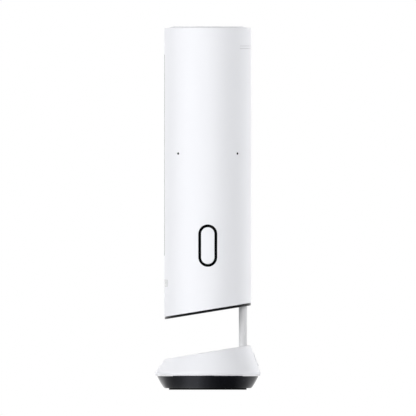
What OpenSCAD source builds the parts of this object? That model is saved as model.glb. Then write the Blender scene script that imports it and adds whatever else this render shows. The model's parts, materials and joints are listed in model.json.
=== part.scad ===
// Smart display column: a tall round column that slides on a slim mast and swivels with its base.
// Front faces -Y, +Z is up, the origin is at the centre of the footprint on the ground.

/* [Column] */
// Outer diameter of the column
head_d = 84; // [76:0.5:104]
// Thickness of the column's wall
head_wall = 2; // [1.6:0.1:2.6]
// Height of the column on its axis, from the slanted underside to the rim
head_len = 274.9; // [262:0.5:340]
// Angle of the column's underside and of the base's top face
slant = 9.2; // [6:0.1:11.5]
// Clear height between base and column, on the axis, when raised
gap_h = 38.3; // [30:0.5:48]
// Thickness of the underside plate, measured upright
plate_t = 2.6; // [2:0.1:3.2]
// How far the underside plate stays inside the column's side
plate_inset = 0.3; // [0:0.1:0.8]

/* [Top cap] */
// Diameter of the cap at the rim
cap_d = 76.6; // [60:0.2:76.6]
// Diameter of the cap's flat middle
cap_flat_d = 65.6; // [40:0.2:70]
// Height of the cap over the rim
cap_rise = 1.5; // [0.5:0.1:4]
// Thickness of the column's lip at the rim
lip_t = 2.5; // [2:0.1:4]

/* [Display] */
// Width of the display glass
display_w = 11; // [10:0.2:18]
// Height of the display glass
display_h = 194.5; // [120:0.5:196]
// Middle of the display, above the underside on the axis
display_up = 152; // [148:0.2:154]
// How far the glass stands out of the column
display_proud = 0.1; // [0:0.05:0.8]
// Thickness of the glass
glass_t = 2; // [1.2:0.1:2.2]
// Depth of the bracket behind the glass
bracket_depth = 5.5; // [5:0.1:6]

/* [Sensor window] */
// Width of the window, measured straight across
sensor_w = 33.4; // [20:0.2:40]
// Height of the window
sensor_h = 6.9; // [4:0.1:9]
// Middle of the window, above the underside on the axis
sensor_up = 28.1; // [24:0.1:34]

/* [Microphones] */
// Diameter of a microphone hole
mic_d = 2.4; // [1.2:0.1:2.4]
// Height of the microphone holes, above the underside on the axis
mic_up = 153.5; // [120:0.5:180]
// Angle of each hole from the column's side
mic_angle = 43.2; // [30:0.1:50]

/* [Rear slots] */
// Height of one air slot
slot_h = 0.3; // [0.3:0.1:1.4]
// Distance from slot to slot
slot_pitch = 2.5; // [2:0.1:4]
// Upper slot, below the rim
slot_down = 17.4; // [10:0.1:20]
// Half of the arc that a slot covers
slot_angle = 42; // [20:1:46]
// How deep the vent's ribs stay behind the column's surface, in the slots
rib_recess = 0.4; // [0.2:0.1:1.5]
// Clearance over and under a vent rib in its slot
rib_clear = 0.05; // [0.03:0.01:0.08]
// Height of the vent strip behind the slots
vent_h = 10; // [8:0.5:14]

/* [Side key] */
// Width of the key
key_w = 13.1; // [10:0.1:15]
// Height of the key
key_h = 35.6; // [30:0.1:42]
// Width of the bezel's visible ring
bezel_w = 2.3; // [1.2:0.1:3]
// Running gap round the key
key_gap = 0.35; // [0.3:0.05:0.6]
// Middle of the key, above the underside on the axis
key_up = 64.5; // [60:0.1:72]
// Diameter of the key's pivot pin
key_pin_d = 1.6; // [1.2:0.1:2]
// Play between a key post and its switch
key_play = 0.75; // [0.65:0.05:1]

/* [Mast] */
// Outer diameter of the mast
mast_d = 8; // [6.5:0.1:10]
// Wall of the mast's tube
mast_wall = 1.1; // [0.8:0.1:1.6]
// Wall of the guide bushes
bush_t = 0.9; // [0.7:0.1:1.2]
// Gap between a bush's flange and the column's inside
guide_clear = 0.6; // [0.4:0.1:1.2]
// Lower guide, above the underside on the axis
guide_low = 13; // [12:0.2:16]
// Upper guide, above the underside on the axis
guide_high = 100; // [80:1:110]
// Height of a guide
guide_h = 16; // [14:0.5:20]

/* [Loudspeaker] */
// Outer diameter of the loudspeaker's flange
driver_d = 46; // [38:0.5:47]
// Loudspeaker's middle, in front of the axis
driver_fwd = 8.5; // [7:0.1:9]
// Top of the speaker box, above the underside on the axis
box_up = 92; // [84:1:100]
// Wall of the speaker box
box_wall = 1.8; // [1.4:0.1:2.4]

/* [Base] */
// Height of the base on its axis
base_h = 22.8; // [21:0.2:30]
// How far the base's top edge stays inside the column's side
base_inset = 0.9; // [0:0.1:3]
// How far the base spreads beyond the column
base_flare = 9; // [6:0.2:14]
// Height of the upright skirt at the base's widest place
skirt_h = 3; // [2:0.1:4]
// Thickness of the base's wall
base_wall = 2; // [1.6:0.1:2.6]
// Thickness of the base's floor
floor_t = 2.8; // [2.6:0.1:3]

/* [Power inlet] */
// Diameter of the round inlet at the back of the base
port_d = 12.5; // [11.6:0.1:14]
// Middle of the inlet, above the base's bottom edge
port_up = 15.55; // [15:0.05:16.3]
// How far the inlet stands out
port_proud = 0.7; // [0.3:0.1:1]
// Diameter of the flat for the plug's grip
port_well_d = 10.6; // [10:0.1:11]
// Depth of the power board
board_depth = 36; // [32:0.5:38]

/* [Foot] */
// Height of the foot ring
foot_h = 11.7; // [10:0.1:15]
// How far the foot ring's top stays inside the base's widest place
foot_step = 2; // [1:0.1:4]
// How much the foot ring narrows towards the ground
foot_taper = 7.2; // [4:0.1:10]
// Wall of the foot ring
foot_wall = 2.2; // [1.8:0.1:3]
// Thickness of the rubber pad
pad_t = 1.5; // [1:0.1:3]
// How far the pad stays inside the foot ring's bottom
pad_step = 4.3; // [2:0.1:8]
// Width of the rubber pad's ring
pad_w = 13; // [8:0.5:16]
// Gap between foot ring and base
turn_gap = 0.5; // [0.4:0.1:1]
// Diameter of the swivel spindle
spindle_d = 12; // [10:0.1:15]

/* [Fits] */
// Radial clearance of what turns or slides
run_fit = 0.05; // [0.03:0.01:0.08]
// Clearance between fixed parts
seam = 0.1; // [0.05:0.01:0.15]

/* [Hidden] */
$fn = 96;
HULL_FN = 40;

// heights
base_z = pad_t + foot_h + turn_gap;
base_top_z = base_z + base_h;
head_z = base_top_z + gap_h;
rim_z = head_z + head_len;
floor_z = base_z + floor_t;
skirt_z = base_z + skirt_h;

// column
head_r = head_d / 2;
inner_r = head_r - head_wall;
far = 2 * head_d;
rise = tan(slant);
glass_z = head_z + display_up - display_h / 2;
sensor_z = head_z + sensor_up;
mic_z = head_z + mic_up;
key_z = head_z + key_up;
slot_zs = [rim_z - slot_down, rim_z - slot_down - slot_pitch];
vent_lap = 2;   // degrees that the vent strip reaches past the slots
rib_end = 0.3;  // degrees that a rib ends short of its slot

// mast and its guides
mast_r = mast_d / 2;
bush_r = mast_r + bush_t;
flange_r = bush_r + 0.5;
flange_t = 1.2;
mast_y = inner_r - guide_clear - flange_r;
low_z = head_z + guide_low;
high_z = head_z + guide_high;
sleeve_h = 4.5;
collar_h = 4;
collar_gap = 0.3;
mast_top = high_z + guide_h + flange_t + collar_gap + collar_h;
mast_z = floor_z + 1.6;
cable_r = 2;
hole_clear = 0.4;
grommet_r = mast_r + hole_clear + 1.2;

// base
top_r = (head_r - base_inset) / cos(slant);
base_r = head_r + base_flare;
edge_bevel = 0.6;
floor_r = base_r - edge_bevel - base_wall - 0.2;
foot_r = base_r - foot_step;
foot_low_r = foot_r - foot_taper;
pad_r = foot_low_r - pad_step;
foot_floor_t = 2.2;
socket_flange_r = mast_r + 7;
socket_r = mast_r + 3.5;
socket_h = 15;
socket_flange_t = 2.2;
spindle_r = spindle_d / 2;
hub_r = spindle_r + 7;
hub_top = base_z - 2;
clip_r = spindle_r + 3;
clip_t = 1;
clip_z = pad_t + 1.7;
recess_top = clip_z + clip_t + 0.2;
ballast_z = pad_t + foot_floor_t;
ballast_top = hub_top - 1;
glide_r = foot_low_r * 0.76;
spindle_flange_r = spindle_r + 8.5;
spindle_flange_t = 2.4;
floor_boss_r = 3.4;
floor_boss_h = 9;

// power inlet
port_r = port_d / 2;
port_z = base_z + port_up;
back_y = top_r * cos(slant);
back_z = base_top_z + top_r * sin(slant);
function wall_y(z) = base_r + (back_y - base_r) * (z - skirt_z) / (back_z - skirt_z);
usb = [9, 7.35, 3.2];
usb_back = mast_y + mast_r + 0.45;
usb_mouth = usb_back + usb.y;
port_flange_w = 1.4;
port_flange_t = 1.2;
board_t = 1.6;
board_top = port_z - usb.z / 2 - 0.05;
board_w = 52;
board_front_y = mast_y + 10 - board_depth;
board_r = wall_y(board_top) - 1.12 * (base_wall + port_flange_t + seam) - 0.4;
board_hole_x = board_w / 2 - 4;
board_hole_y = [board_front_y + 4, mast_y - 4];
// the socket is open towards the back above this height, where the inlet needs the room
notch_z = board_top - board_t - 0.3;
notch_y = mast_y + 0.85 * mast_r;

// chassis and boards
chassis_t = 3;
chassis_y = 16.3 + (inner_r - 40) * 0.4;
chassis_z0 = head_z + guide_low - 1;
chassis_z1 = rim_z - 24;
chassis_x = sqrt(pow(inner_r, 2) - pow(chassis_y + chassis_t, 2)) - 1.6;
rail_t = 2;
main_z0 = head_z + 116;
main_h = 128;
main_w = 54;
standoff = 4;
main_y = chassis_y - standoff - board_t;
main_holes = [for (x = [-1, 1], z = [8, main_h - 8]) [x * (main_w / 2 - 4), main_z0 + z]];
chip_t = 2.4;
sink_t = 9;
cans = [[-14, 28, 16, 22], [12, 26, 18, 24], [0, 96, 34, 18]];

// display
panel_t = 1.5;
panel_front = sqrt(pow(head_r + display_proud - glass_t, 2) - pow(display_w / 2, 2)) - seam;
bracket_w = display_w + 5;
bracket_h = display_h + 7;
bracket_back = inner_r - bracket_depth;
sensor_board_y = inner_r - 3.4;

// side key
bezel_hw = key_w / 2 + key_gap + bezel_w;
bezel_hh = key_h / 2 + key_gap + bezel_w;
flange_w = 2;
bezel_back = inner_r - 5;
key_pin_x = inner_r - 2.9;
key_hub_r = key_pin_d / 2 + 1.3;
key_face_t = 3.2;
key_post_z = 13;
switch_top = bezel_back + 0.2;
key_board_x = bezel_back - 3;
key_board_t = 1.2;
key_hole_z = bezel_hh + flange_w - 2.2;

// speaker
box_r = inner_r - 10;
box_front = inner_r - 7;
box_cy = box_r - box_front;
box_flat = chassis_y - 0.3;
plate_n = plate_t * cos(slant);
gasket_t = 1.5;
basket_flange_t = 1.5;
gasket_z = plate_n + 0.05;
basket_z = gasket_z + gasket_t;
box_floor_z = basket_z + basket_flange_t + 0.05;
driver_r = driver_d / 2;
cone_r = driver_r - 3.5;
magnet_r = driver_r * 0.62;
magnet_z = basket_z + 16;
magnet_t = 10;
box_legs = [
    [-(box_r - 4), box_cy - 4], [box_r - 4, box_cy - 4],
    [-(driver_r * 0.674), box_flat - 2.7], [driver_r * 0.674, box_flat - 2.7],
];
leg_r = 2.2;

// screws
screw_r = 1.2;
screw_head_h = 1.2;
screw_sink = 0.15;
thin_screw_r = 0.95;
shell_boss_r = 3.2;
// the bosses lean with the underside, so their places are carried back to meet the wall half-way up
shell_screw_r = inner_r - 2.6;
shell_screws = [for (a = [-150, -30, 50, 130])
    [shell_screw_r * cos(a), (shell_screw_r * sin(a) + 7 * sin(slant)) / cos(slant)]];

// Screw that stands on its head at the origin and points up
module screw(length, r = screw_r) {
    cylinder(r = r + 1, h = screw_head_h);
    translate([0, 0, screw_head_h - 0.2]) cylinder(r = r, h = length - screw_head_h + 0.2);
}

// What is cut out of a plate for such a screw
module screw_way(length, r = screw_r) {
    translate([0, 0, -6]) cylinder(r = r + 1.15, h = 6 + screw_head_h + screw_sink + seam);
    cylinder(r = r + seam, h = length + 0.4);
}

module at(points) {
    for (p = points) translate([p.x, p.y, 0]) children();
}

module mirrored_x() {
    children();
    mirror([1, 0, 0]) children();
}

module ring(outer, inner, height) {
    difference() {
        cylinder(r = outer, h = height);
        translate([0, 0, -1]) cylinder(r = inner, h = height + 2);
    }
}

// Frame whose ground plane is the column's slanted underside
module on_slant(up = 0) {
    translate([0, 0, head_z]) rotate([slant, 0, 0]) translate([0, 0, up]) children();
}

// Everything below the slanted plane that lies up above the underside
module below_slant(up = 0) {
    on_slant(up) translate([-far / 2, -far / 2, -far]) cube([far, far, far]);
}

// Slab between two planes parallel to the underside
module slant_slab(up, thickness) {
    on_slant(up) translate([-far / 2, -far / 2, 0]) cube([far, far, thickness]);
}

// Upright pill that looks along X, as a prism from x0 to x1
module pill(half_w, half_h, x0, x1) {
    translate([x0, 0, key_z]) rotate([0, 90, 0]) {
        translate([-(half_h - half_w), -half_w, 0]) cube([2 * (half_h - half_w), 2 * half_w, x1 - x0]);
        for (s = [-1, 1]) translate([s * (half_h - half_w), 0, 0]) cylinder(r = half_w, h = x1 - x0);
    }
}

// ---------------------------------------------------------------- foot

module foot_ring() color([0.05, 0.05, 0.05]) difference() {
    union() {
        translate([0, 0, pad_t]) difference() {
            cylinder(r1 = foot_low_r, r2 = foot_r, h = foot_h);
            translate([0, 0, foot_floor_t])
                cylinder(
                    r1 = foot_low_r - foot_wall + foot_taper * foot_floor_t / foot_h,
                    r2 = foot_r - foot_wall + foot_taper * 0.1, h = foot_h - foot_floor_t + 1
                );
        }
        translate([0, 0, pad_t]) cylinder(r = hub_r, h = hub_top - pad_t);
    }
    translate([0, 0, -1]) cylinder(r = spindle_r + run_fit, h = base_z);
    translate([0, 0, -1]) cylinder(r = clip_r + 0.6, h = recess_top + 1);
    foot_screw_places() screw_way(ballast_top - pad_t);
}

module foot_screw_places() {
    for (a = [45:90:315]) rotate([0, 0, a])
        translate([(hub_r + pad_r - pad_w) / 2, 0, pad_t + 0.2]) children();
}

module foot_pad() color([0.08, 0.08, 0.08]) ring(pad_r, pad_r - pad_w, pad_t);

module ballast() color("slategray") difference() {
    translate([0, 0, ballast_z]) ring(foot_low_r - foot_wall - 0.1, hub_r + 0.4, ballast_top - ballast_z);
    foot_screw_places() translate([0, 0, 1]) cylinder(r = screw_r + run_fit, h = foot_h);
}

module foot_screws() color("silver") foot_screw_places() screw(ballast_top - pad_t - 1);

module glide_ring() color("ivory")
    translate([0, 0, ballast_top]) ring(glide_r + 2, glide_r - 2, base_z - seam - ballast_top);

// ---------------------------------------------------------------- base

// Outer form of the base, drawn in by inset and carried down by drop
module base_form(inset = 0, drop = 0) {
    hull() {
        translate([0, 0, base_z - drop])
            cylinder(r = base_r - inset - (drop > 0 ? 0 : edge_bevel), h = 0.1, $fn = HULL_FN);
        translate([0, 0, base_z + 0.8])
            cylinder(r = base_r - inset, h = skirt_h - 0.8, $fn = HULL_FN);
        translate([0, 0, base_top_z]) rotate([slant, 0, 0]) translate([0, 0, -inset - 0.1])
            cylinder(r = top_r - inset, h = 0.1, $fn = HULL_FN);
    }
}

module floor_screw_places() {
    for (a = [40, 140, 220, 320]) rotate([0, 0, a]) translate([floor_r - 5.2, 0, base_z]) children();
}

// Round bar along Y at the inlet's place, from y on
module inlet_bar(r, y) {
    translate([0, y, port_z]) rotate([-90, 0, 0]) cylinder(r = r, h = far);
}

// Oblong bar along Y in the shape of the plug, from y on
module plug_bar(w, h, y, length) {
    translate([0, y, port_z]) rotate([-90, 0, 0]) {
        translate([-(w - h) / 2, -h / 2, 0]) cube([w - h, h, length]);
        for (x = [-1, 1]) translate([x * (w - h) / 2, 0, 0]) cylinder(r = h / 2, h = length);
    }
}

module base_housing() color([0.95, 0.95, 0.95]) difference() {
    union() {
        difference() {
            base_form();
            base_form(base_wall, 2);
        }
        intersection() {
            base_form(0.6);
            floor_screw_places() translate([0, 0, floor_t + seam])
                cylinder(r = floor_boss_r, h = floor_boss_h);
        }
    }
    floor_screw_places() cylinder(r = screw_r + run_fit, h = floor_t + floor_boss_h - 1);
    translate([0, mast_y, base_z]) cylinder(r = mast_r + hole_clear, h = 3 * base_h);
    inlet_bar(port_r + seam, mast_y + 2);
}

module socket_screw_places() {
    translate([0, mast_y, base_z])
        for (a = [30, 150, 270]) rotate([0, 0, a]) translate([mast_r + 1.8, 0, 0]) children();
}

module spindle_screw_places() {
    for (a = [0:90:270]) rotate([0, 0, a]) translate([spindle_r + 5, 0, 0]) children();
}

module base_floor() color([0.2, 0.2, 0.2]) difference() {
    union() {
        translate([0, 0, base_z]) cylinder(r = floor_r, h = floor_t);
        for (x = [-1, 1], y = board_hole_y) translate([x * board_hole_x, y, base_z + 1])
            cylinder(r = 2.6, h = board_top - board_t - base_z - 1);
    }
    translate([0, 0, base_z - 1]) cylinder(r = spindle_r + run_fit, h = floor_t + 2);
    floor_screw_places() screw_way(floor_t + 4);
    socket_screw_places() screw_way(12, thin_screw_r);
    spindle_screw_places() translate([0, 0, base_z + 0.6])
        cylinder(r = thin_screw_r + run_fit, h = floor_t);
}

module floor_screws() color("silver")
    floor_screw_places() translate([0, 0, screw_sink]) screw(floor_t + floor_boss_h - 2);

module spindle_screws() color("silver") spindle_screw_places()
    translate([0, 0, floor_z + spindle_flange_t + screw_head_h + 0.05]) mirror([0, 0, 1])
        screw(screw_head_h + spindle_flange_t + floor_t - 1, thin_screw_r);

module swivel_spindle() color("silver") difference() {
    union() {
        translate([0, 0, floor_z]) cylinder(r = spindle_flange_r, h = spindle_flange_t);
        translate([0, 0, pad_t + 0.5]) cylinder(r = spindle_r, h = floor_z - pad_t);
    }
    translate([0, 0, clip_z - 0.05]) ring(spindle_r + 1, spindle_r - 1.4, clip_t + 0.1);
    translate([0, 0, pad_t - 1]) cylinder(r = 2.6, h = base_h);
    spindle_screw_places() translate([0, 0, floor_z - 1]) cylinder(r = thin_screw_r + seam, h = 6);
}

module spindle_clip() color("gray") difference() {
    translate([0, 0, clip_z]) ring(clip_r, spindle_r - 1.35, clip_t);
    translate([-1.5, 0, clip_z - 1]) cube([3, clip_r + 1, clip_t + 2]);
}

module mast_socket() color("silver") difference() {
    translate([0, mast_y, floor_z]) union() {
        cylinder(r = socket_flange_r, h = socket_flange_t);
        cylinder(r = socket_r, h = socket_h);
    }
    translate([0, mast_y, mast_z - 0.1]) cylinder(r = mast_r + run_fit, h = socket_h);
    translate([0, mast_y, floor_z - 1]) cylinder(r = cable_r + 0.4, h = 4);
    translate([-socket_r - 1, notch_y, notch_z]) cube([2 * socket_r + 2, socket_r, socket_h]);
    socket_screw_places() cylinder(r = thin_screw_r + run_fit, h = floor_t + 8.8);
}

module socket_screws() color("silver")
    socket_screw_places() translate([0, 0, screw_sink]) screw(floor_t + 8, thin_screw_r);

module mast() color([0.8, 0.8, 0.8])
    translate([0, mast_y, mast_z]) ring(mast_r, mast_r - mast_wall, mast_top - mast_z);

module mast_collar() color("gray") translate([0, mast_y, mast_top - collar_h])
    ring(flange_r, mast_r + 0.03, collar_h - 0.4);

module mast_cable() color([0.1, 0.1, 0.1]) translate([0, mast_y, 0]) union() {
    translate([0, 0, floor_z + 0.4]) cylinder(r = cable_r, h = mast_top - floor_z - 0.4);
    translate([0, 0, mast_top - 0.5]) cylinder(r = cable_r + 0.4, h = 3);
}

module power_board() color("darkgreen") difference() {
    intersection() {
        translate([-board_w / 2, board_front_y, board_top - board_t])
            cube([board_w, board_depth, board_t]);
        cylinder(r = board_r, h = board_top + 1);
    }
    translate([0, mast_y, 0]) cylinder(r = mast_r + 0.4, h = 3 * base_z);
    intersection() {
        translate([0, mast_y, 0]) cylinder(r = socket_r + 0.35, h = 3 * base_z);
        translate([-far, notch_y + 0.35 - 2 * far, 0]) cube([2 * far, 2 * far, 3 * base_z]);
    }
    for (x = [-1, 1], y = board_hole_y) translate([x * board_hole_x, y, 0])
        cylinder(r = 1, h = 3 * base_z);
}

module usb_socket() color("silver") {
    difference() {
        plug_bar(usb.x, usb.z, usb_back, usb.y);
        difference() {
            plug_bar(usb.x - 0.6, usb.z - 0.6, usb_back + 0.8, usb.y);
            translate([-3.35, usb_back, port_z - 0.35]) cube([6.7, usb.y - 0.9, 0.7]);
        }
    }
    translate([-(usb.x - usb.z) / 2, usb_back, board_top + 0.02])
        cube([usb.x - usb.z, min(board_r - 0.4, usb_mouth) - usb_back, port_z - 0.7 - board_top]);
}

module port_bezel() color([0.9, 0.9, 0.9]) difference() {
    intersection() {
        difference() {
            base_form(-port_proud, 0);
            base_form(base_wall + port_flange_t + seam, 2);
        }
        inlet_bar(port_r + port_flange_w, mast_y);
        union() {
            inlet_bar(port_r, mast_y);
            base_form(base_wall + seam, 2);
        }
    }
    plug_bar(usb.x + 2 * seam, usb.z + 2 * seam, mast_y, far);
    inlet_bar(port_well_d / 2, usb_mouth + 0.2);
    translate([-far / 2, 0, board_top - board_t - 1]) cube([far, board_r + 0.3, board_t + 1.3]);
}

// ---------------------------------------------------------------- column

// Rails on the inside of the column that hold the chassis by its edges
module rails() difference() {
    intersection() {
        translate([0, 0, chassis_z0 - rail_t])
            ring(head_r - head_wall / 2, inner_r - 9, chassis_z1 - chassis_z0);
        mirrored_x() translate([chassis_x - 3, chassis_y - rail_t - seam, 0])
            cube([head_r, chassis_t + 2 * (rail_t + seam), rim_z]);
    }
    translate([-chassis_x - seam, chassis_y - seam, chassis_z0 - seam])
        cube([2 * (chassis_x + seam), chassis_t + 2 * seam, rim_z]);
}

// Bosses on the inside of the column for the underside plate's screws
module shell_bosses() intersection() {
    on_slant(plate_n) at(shell_screws) cylinder(r = shell_boss_r, h = 10);
    cylinder(r = head_r - head_wall / 2, h = rim_z);
}

// A flat arc round the back of the column, its middle at z
module back_arc(z, half_angle, outer, inner, h) {
    wedge = 2 * head_r;
    translate([0, 0, z - h / 2]) intersection() {
        ring(outer, inner, h);
        linear_extrude(h) polygon([
            [0, 0], wedge * [sin(half_angle), cos(half_angle)], wedge * [0, 1.2],
            wedge * [-sin(half_angle), cos(half_angle)],
        ]);
    }
}

module mic_places() {
    for (side = [0, 180], s = [-1, 1]) rotate([0, 0, side + s * mic_angle])
        translate([0, 0, mic_z]) children();
}

module head_shell() color([0.96, 0.96, 0.96]) {
    low = head_z - head_r * rise - 1;
    difference() {
        union() {
            difference() {
                translate([0, 0, low]) cylinder(r = head_r, h = rim_z - low);
                translate([0, 0, low - 1]) cylinder(r = inner_r, h = rim_z - lip_t - low + 1);
                translate([0, 0, rim_z - lip_t - 1]) cylinder(d = cap_d + 2 * seam, h = lip_t + 2);
            }
            rails();
            shell_bosses();
        }
        below_slant(plate_n);
        translate([-display_w / 2 - seam, -head_r - 1, glass_z - seam])
            cube([display_w + 2 * seam, head_wall + 4, display_h + 2 * seam]);
        translate([-sensor_w / 2 - seam, -head_r - 1, sensor_z - sensor_h / 2 - seam])
            cube([sensor_w + 2 * seam, head_r / 2, sensor_h + 2 * seam]);
        pill(bezel_hw + seam, bezel_hh + seam, inner_r - 9, head_r + 1);
        for (z = slot_zs) back_arc(z, slot_angle, head_r + 1, inner_r - 3, slot_h);
        mic_places() translate([inner_r - 2, 0, 0]) rotate([0, 90, 0])
            cylinder(d = mic_d, h = head_wall + 3);
        on_slant() at(shell_screws) cylinder(r = screw_r + run_fit, h = plate_n + 8.5);
    }
}

module top_cap() color([0.96, 0.96, 0.96]) difference() {
    rotate_extrude() polygon([
        [0, rim_z - lip_t - 2], [inner_r - seam, rim_z - lip_t - 2], [inner_r - seam, rim_z - lip_t - 0.05],
        [cap_d / 2, rim_z - lip_t - 0.05], [cap_d / 2, rim_z],
        [cap_flat_d / 2, rim_z + cap_rise], [0, rim_z + cap_rise],
    ]);
    translate([0, 0, rim_z - lip_t - 3]) cylinder(r = cap_flat_d / 2, h = lip_t + 1);
}

module bottom_plate() color([0.05, 0.05, 0.05]) difference() {
    intersection() {
        translate([0, 0, head_z - head_r]) cylinder(r = head_r - plate_inset, h = 2 * head_r);
        slant_slab(0, plate_n - 0.05);
    }
    translate([0, mast_y, 0]) cylinder(r = grommet_r + seam, h = rim_z);
    on_slant() {
        at(concat(shell_screws, box_legs)) screw_way(8);
        translate([0, -driver_fwd, -1]) for (k = [1:4], a = [0:60 / k:359])
            rotate([0, 0, a + 10 * k]) translate([k * (cone_r + 1) / 4.6, 0, 0])
                cylinder(r = 1.4, h = 5);
    }
}

module mast_grommet() color([0.15, 0.15, 0.15]) intersection() {
    translate([0, mast_y, head_z - head_r]) ring(grommet_r, mast_r + hole_clear, 2 * head_r);
    slant_slab(0.05, plate_n + 1);
}

module plate_screws() color([0.2, 0.2, 0.2])
    on_slant(screw_sink) at(concat(shell_screws, box_legs)) screw(7.8);

module display_box(margin, y0, y1) {
    translate([-display_w / 2 - margin, -y1, glass_z - margin])
        cube([display_w + 2 * margin, y1 - y0, display_h + 2 * margin]);
}

module cover_glass() color([0.03, 0.03, 0.04]) intersection() {
    translate([0, 0, head_z]) ring(head_r + display_proud, head_r + display_proud - glass_t, head_len);
    display_box(0, 0, far);
}

module display_panel() color([0.1, 0.1, 0.12])
    translate([-display_w / 2 + 1, -panel_front, glass_z + 1])
    cube([display_w - 2, panel_t, display_h - 2]);

module bracket_screw_places() {
    for (z = [-1, 1]) translate([0, 0, glass_z + display_h / 2 + z * (bracket_h / 2 - 2)]) children();
}

module display_bracket() color([0.15, 0.15, 0.15]) difference() {
    intersection() {
        translate([0, 0, head_z]) cylinder(r = inner_r - 0.05, h = head_len);
        translate([-bracket_w / 2, -far, glass_z + display_h / 2 - bracket_h / 2])
            cube([bracket_w, far - bracket_back, bracket_h]);
    }
    translate([-display_w / 2 + 1 - seam, -far, glass_z + 1 - seam])
        cube([display_w - 2 + 2 * seam, far - panel_front + panel_t + seam, display_h - 2 + 2 * seam]);
    display_box(seam, panel_front, far);
    for (z = [20:30:display_h - 15]) translate([-3, -panel_front, glass_z + z]) cube([6, 20, 12]);
    bracket_screw_places() translate([0, -bracket_back + 1, 0]) rotate([90, 0, 0])
        cylinder(r = thin_screw_r + run_fit, h = 20);
}

module bracket_screws() color("silver") bracket_screw_places()
    translate([0, -bracket_back + screw_head_h + 0.05, 0]) rotate([90, 0, 0]) screw(5, thin_screw_r);

module sensor_window() color([0.8, 0.8, 0.8]) {
    intersection() {
        translate([0, 0, head_z]) ring(head_r, inner_r + 0.1, head_len);
        translate([-sensor_w / 2, -far, sensor_z - sensor_h / 2]) cube([sensor_w, far, sensor_h]);
    }
    for (x = [-1, 1]) translate([8 * x, -sensor_board_y, sensor_z]) rotate([90, 0, 0])
        cylinder(r = 1.2, h = sqrt(pow(inner_r + 0.8, 2) - 81) - sensor_board_y);
}

module sensor_board() color("darkgreen") {
    translate([-12, -sensor_board_y + 0.02, sensor_z - 5]) cube([24, 1.2, 10]);
    translate([-2, -sensor_board_y - 1.4, sensor_z - 2]) cube([4, 1.5, 4]);
}

// Guide block on the chassis for one bush, from z0 up
module guide_block(z0) {
    intersection() {
        translate([0, 0, z0]) cylinder(r = inner_r - 0.25, h = guide_h);
        translate([-bush_r - 3, chassis_y + chassis_t - 1, z0]) difference() {
            cube([2 * bush_r + 6, inner_r, guide_h]);
            translate([3, 1 + 1.5, -1])
                cube([2 * bush_r, mast_y - chassis_y - chassis_t - bush_r - 3, guide_h + 2]);
        }
    }
}

module chassis() color([0.35, 0.35, 0.37]) difference() {
    union() {
        translate([-chassis_x, chassis_y, chassis_z0])
            cube([2 * chassis_x, chassis_t, chassis_z1 - chassis_z0]);
        guide_block(low_z);
        guide_block(high_z);
        for (p = main_holes) translate([p.x, chassis_y + 1, p.y]) rotate([90, 0, 0])
            cylinder(r = 2.8, h = standoff + 1);
    }
    translate([0, mast_y, low_z - 1]) cylinder(r = bush_r + run_fit, h = guide_h + 2);
    translate([0, mast_y, high_z - 1]) cylinder(r = bush_r + run_fit, h = guide_h + 2);
    for (p = main_holes) translate([p.x, chassis_y + chassis_t + 1, p.y]) rotate([90, 0, 0])
        cylinder(r = screw_r + run_fit, h = standoff + chassis_t + 2);
    for (z = [30:24:chassis_z1 - chassis_z0 - 20], x = [-1, 1])
        translate([x * 18, chassis_y - 1, chassis_z0 + z])
        rotate([-90, 0, 0]) cylinder(r = 5, h = chassis_t + 2);
}

// Flanged bush whose flange is at its lower end
module bush(length) translate([0, mast_y, 0]) difference() {
    union() {
        translate([0, 0, -flange_t]) cylinder(r = flange_r, h = flange_t);
        translate([0, 0, -0.2]) cylinder(r = bush_r, h = length + 0.2);
    }
    translate([0, 0, -flange_t - 1]) cylinder(r = mast_r + run_fit, h = length + flange_t + 2);
}

module lower_bush() color("ivory") translate([0, 0, low_z]) bush(guide_h - sleeve_h - 1);
module upper_bush() color("ivory") translate([0, 0, high_z + guide_h]) mirror([0, 0, 1])
    bush(guide_h - 2);
module friction_sleeve() color([0.25, 0.25, 0.25])
    translate([0, mast_y, low_z + guide_h - sleeve_h - 0.5]) ring(bush_r, mast_r + 0.04, sleeve_h);

module main_board() color("darkgreen") difference() {
    translate([-main_w / 2, main_y, main_z0]) cube([main_w, board_t - 0.02, main_h]);
    for (p = main_holes) translate([p.x, main_y - 1, p.y]) rotate([-90, 0, 0])
        cylinder(r = screw_r + seam, h = board_t + 2);
}

module board_screws() color("silver") for (p = main_holes)
    translate([p.x, main_y - screw_head_h - 0.02, p.y]) rotate([-90, 0, 0])
        screw(standoff + board_t + 1);

module shield_cans() color("silver") for (c = cans)
    translate([c.x - c[2] / 2, main_y - chip_t, main_z0 + c.y - c[3] / 2])
        cube([c[2], chip_t - 0.02, c[3]]);

module heat_sink() color([0.6, 0.6, 0.62]) translate([-20, main_y - 0.02, main_z0 + 42]) {
    translate([0, -2.5, 0]) cube([40, 2.5, 42]);
    for (k = [0:6]) translate([k * 6.33, -sink_t, 0]) cube([2, sink_t - 2, 42]);
}

module antenna_board() color("darkgreen") translate([-18, chassis_y + chassis_t + 0.02, chassis_z1 - 24])
    cube([36, 1, 22]);

module mic_boards() color("darkgreen") mic_places() {
    translate([inner_r - 2.8, -4, -5]) cube([1.2, 8, 10]);
    translate([inner_r - 3.9, -2, -1.5]) cube([1.2, 4, 3]);
}

module mic_gaskets() color([0.15, 0.15, 0.15]) mic_places() difference() {
    rotate([0, 90, 0]) {
        translate([0, 0, inner_r - 1.58]) cylinder(r = 2.4, h = 1.45);
        translate([0, 0, inner_r - 0.5]) cylinder(d = mic_d - 0.08, h = head_wall + 0.2);
    }
    rotate([0, 90, 0]) cylinder(d = mic_d / 2, h = head_d);
}

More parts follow.
